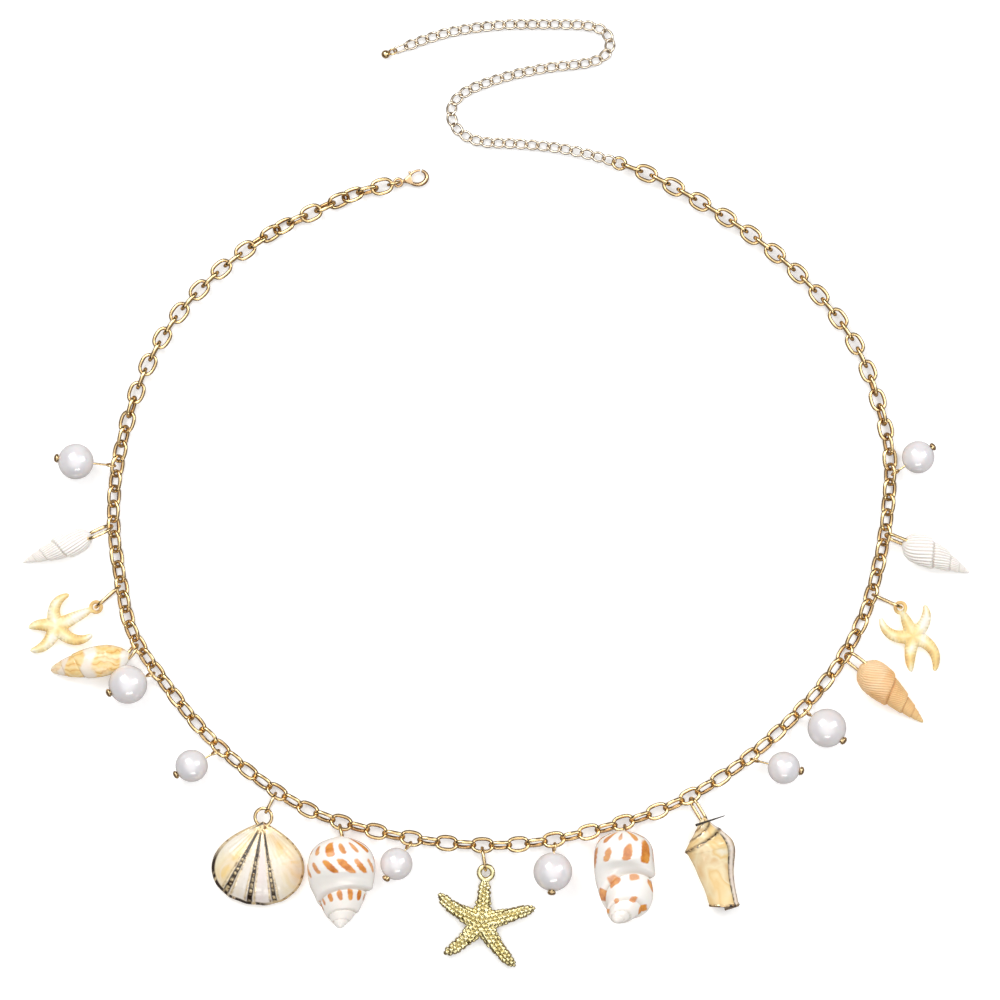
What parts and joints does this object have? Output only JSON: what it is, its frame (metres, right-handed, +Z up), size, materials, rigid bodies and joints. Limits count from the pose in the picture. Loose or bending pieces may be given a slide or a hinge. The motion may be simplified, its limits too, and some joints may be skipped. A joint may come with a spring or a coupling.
{
  "type": "waist chain",
  "caption": "Gilt waist chain of oval links with shell, pearl and starfish charms, a lobster clasp and a twisted extension chain.",
  "frame": {"origin": "middle of the chain's bounding box, on the surface it lies on", "axes": "+Z up from that surface; +Y towards the clasp and the extension, which lie at the top; +X towards the side of the end ring"},
  "size_m": [0.2937, 0.2931, 0.0159],
  "materials": {
    "chain_metal": "warm gold plate, polished",
    "extension_metal": "pale champagne gold plate, polished",
    "clasp_metal": "warm gold plate, polished",
    "ring_metal": "gold plate, polished",
    "pin_metal": "gold plate, polished",
    "pearl": "white pearl lustre",
    "starfish_metal": "pale antique gold plate, grainy",
    "starfish_cream": "cream with a soft yellow shade",
    "black_pin": "black",
    "shell_white": "natural shell, satin white, ribbed",
    "shell_spotted": "natural shell, glossy white with orange brown spots",
    "shell_amber": "natural shell, glossy amber with a white band",
    "shell_peach": "natural shell, satin peach, finely ribbed",
    "shell_cone": "natural shell, nacre with gilt edges",
    "shell_scallop": "natural shell, cream and pink ribs with gilt grooves"
  },
  "bodies": {
    "chain": {"chain_left": "chain_metal", "chain_right": "chain_metal", "extension_chain": "extension_metal", "tail_link": "chain_metal", "tail_ball": "chain_metal", "end_ring": "chain_metal", "clasp_ring": "clasp_metal", "clasp_body": "clasp_metal", "clasp_rivet": "clasp_metal", "white_shell_left": "shell_white", "white_shell_left_ring": "ring_metal", "cream_starfish_left": "starfish_cream", "cream_starfish_left_ring": "ring_metal", "amber_shell": "shell_amber", "amber_shell_ring": "ring_metal", "scallop": "shell_scallop", "scallop_ring": "ring_metal", "scallop_link": "ring_metal", "spotted_shell_left": "shell_spotted", "spotted_shell_left_ring": "ring_metal", "gold_starfish": "starfish_metal", "gold_starfish_ring": "ring_metal", "spotted_shell_right": "shell_spotted", "spotted_shell_right_ring": "ring_metal", "cone_shell": "shell_cone", "cone_shell_ring": "ring_metal", "cone_shell_pin": "black_pin", "peach_shell": "shell_peach", "peach_shell_ring": "ring_metal", "cream_starfish_right": "starfish_cream", "cream_starfish_right_ring": "ring_metal", "white_shell_right": "shell_white", "white_shell_right_ring": "ring_metal", "pearl_1": "pearl", "pearl_2": "pearl", "pearl_3": "pearl", "pearl_4": "pearl", "pearl_5": "pearl", "pearl_6": "pearl", "pearl_7": "pearl", "pearl_8": "pearl", "pearl_pin_1": "pin_metal", "pearl_pin_2": "pin_metal", "pearl_pin_3": "pin_metal", "pearl_pin_4": "pin_metal", "pearl_pin_5": "pin_metal", "pearl_pin_6": "pin_metal", "pearl_pin_7": "pin_metal", "pearl_pin_8": "pin_metal"},
    "lever": {"clasp_lever": "clasp_metal"}
  },
  "joints": [
    {"name": "clasp_lever_hinge", "type": "hinge", "parent": "chain", "child": "lever", "pos_m": [-0.02613, 0.09736, 0.0014], "axis": [0, 0, 1], "range_deg": [-28, 0], "stiffness_Nm_per_rad": 0.003, "springref_deg": 2.86}
  ]
}
